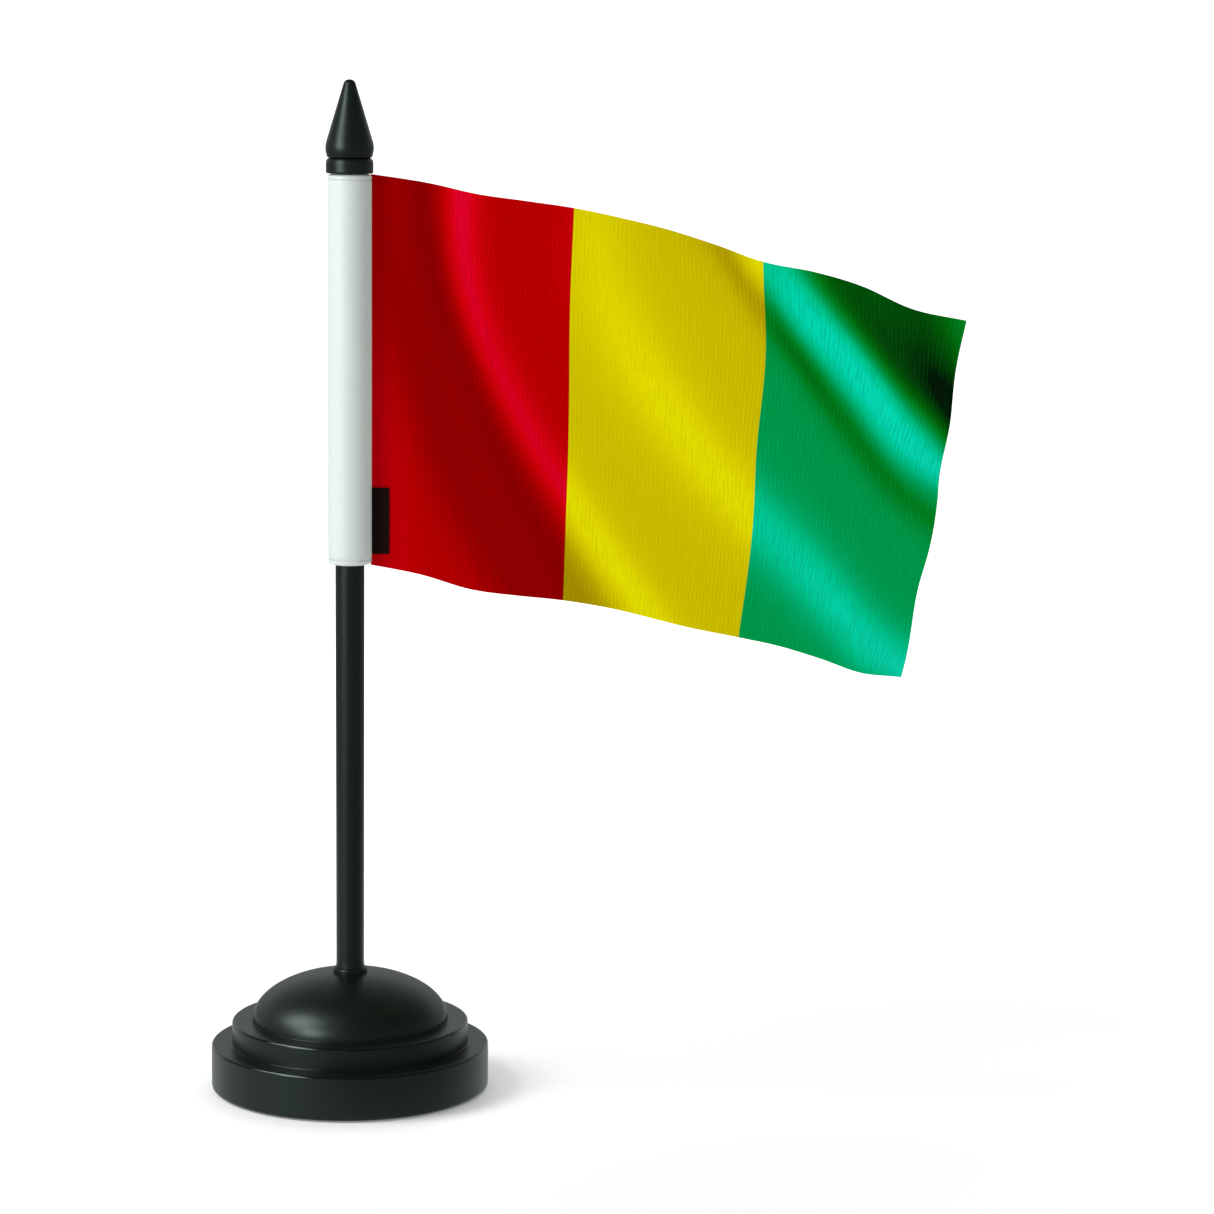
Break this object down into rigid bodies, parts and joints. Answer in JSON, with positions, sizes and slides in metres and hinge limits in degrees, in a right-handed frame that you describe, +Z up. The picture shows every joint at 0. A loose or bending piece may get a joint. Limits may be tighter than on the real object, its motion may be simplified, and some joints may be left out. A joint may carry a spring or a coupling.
{
  "type": "desk flag stand",
  "caption": "Desk flag stand: stepped round weighted base, slim push-in pole with a spear finial, and a small cloth flag in three colour bands on a white sleeve.",
  "frame": {"origin": "centre of the foam pad's underside, where the stand rests, on the pole's axis", "axes": "+Z up along the pole, +X from the pole towards the flag's free edge, -Y out of the flag's front"},
  "size_m": [0.1968, 0.0724, 0.2624],
  "materials": {
    "black_plastic": "satin moulded",
    "ballast_steel": "bare, oiled",
    "screw_steel": "zinc plated",
    "pad_foam": "fine closed-cell foam",
    "sleeve_plastic": "white satin",
    "sleeve_cloth": "white satin weave",
    "cloth_red": "satin polyester, printed",
    "cloth_yellow": "satin polyester, printed",
    "cloth_green": "satin polyester, printed",
    "label_cloth": "woven tape, blank"
  },
  "bodies": {
    "base": {"base_shell": "black_plastic", "ballast_weight": "ballast_steel", "base_cover": "black_plastic", "cover_screws": "screw_steel", "foam_pad": "pad_foam"},
    "bush": {"pole_bush": "black_plastic"},
    "pole": {"pole_tube": "black_plastic", "pole_foot_plug": "black_plastic", "pole_top_plug": "black_plastic"},
    "flag": {"sleeve_tube": "sleeve_plastic", "sleeve_wrap": "sleeve_cloth", "flag_band_red": "cloth_red", "flag_band_yellow": "cloth_yellow", "flag_band_green": "cloth_green", "side_label": "label_cloth"},
    "finial": {"finial_collar": "black_plastic", "finial_spear": "black_plastic"}
  },
  "joints": [
    {"name": "pole_turn", "type": "hinge", "parent": "base", "child": "bush", "pos_m": [0, 0, 0.03], "axis": [0, 0, 1], "continuous": true},
    {"name": "pole_pull", "type": "slide", "parent": "bush", "child": "pole", "axis": [0, 0, 1], "range_m": [0, 0.024]},
    {"name": "flag_turn", "type": "hinge", "parent": "pole", "child": "flag", "pos_m": [0, 0, 0.236], "axis": [0, 0, 1], "continuous": true},
    {"name": "finial_pull", "type": "slide", "parent": "pole", "child": "finial", "axis": [0, 0, 1], "range_m": [0, 0.012]}
  ]
}
